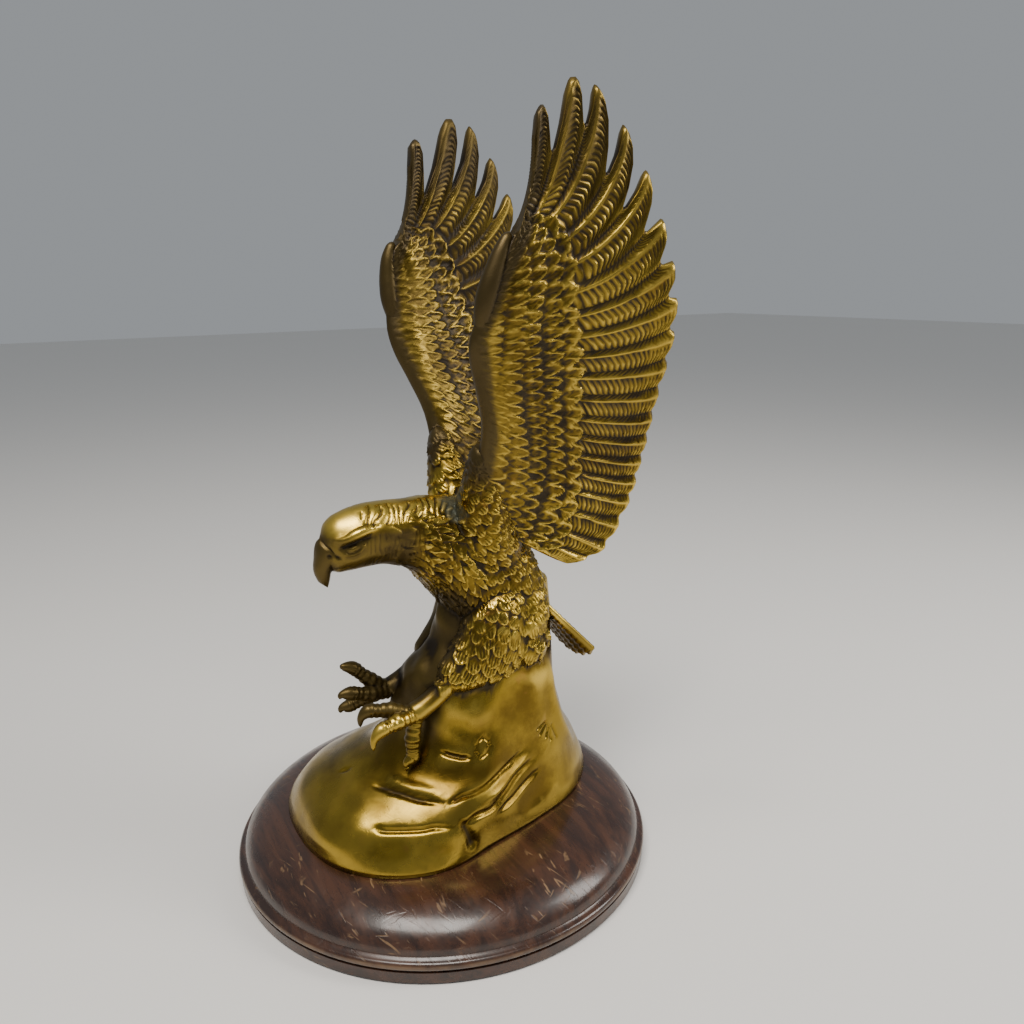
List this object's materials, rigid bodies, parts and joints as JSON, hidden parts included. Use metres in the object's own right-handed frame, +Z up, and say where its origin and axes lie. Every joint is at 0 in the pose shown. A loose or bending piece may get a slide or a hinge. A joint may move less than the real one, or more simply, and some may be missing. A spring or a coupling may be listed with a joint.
{
  "type": "eagle statue",
  "caption": "Cast brass eagle landing on a smooth rock with wings raised and claws forward, fixed on a round turned wooden plinth.",
  "frame": {"origin": "centre of the plinth's flat underside", "axes": "+Z up; the eagle faces -Y and its left wing is on +X"},
  "size_m": [0.178, 0.178, 0.306],
  "materials": {
    "brass": "aged cast brass, dark in the recesses and rubbed bright on the high places",
    "wood": "dark red-brown lacquer, scratched and worn at the rim"
  },
  "bodies": {
    "root": {"eagle": "brass", "plinth": "wood"}
  },
  "joints": []
}
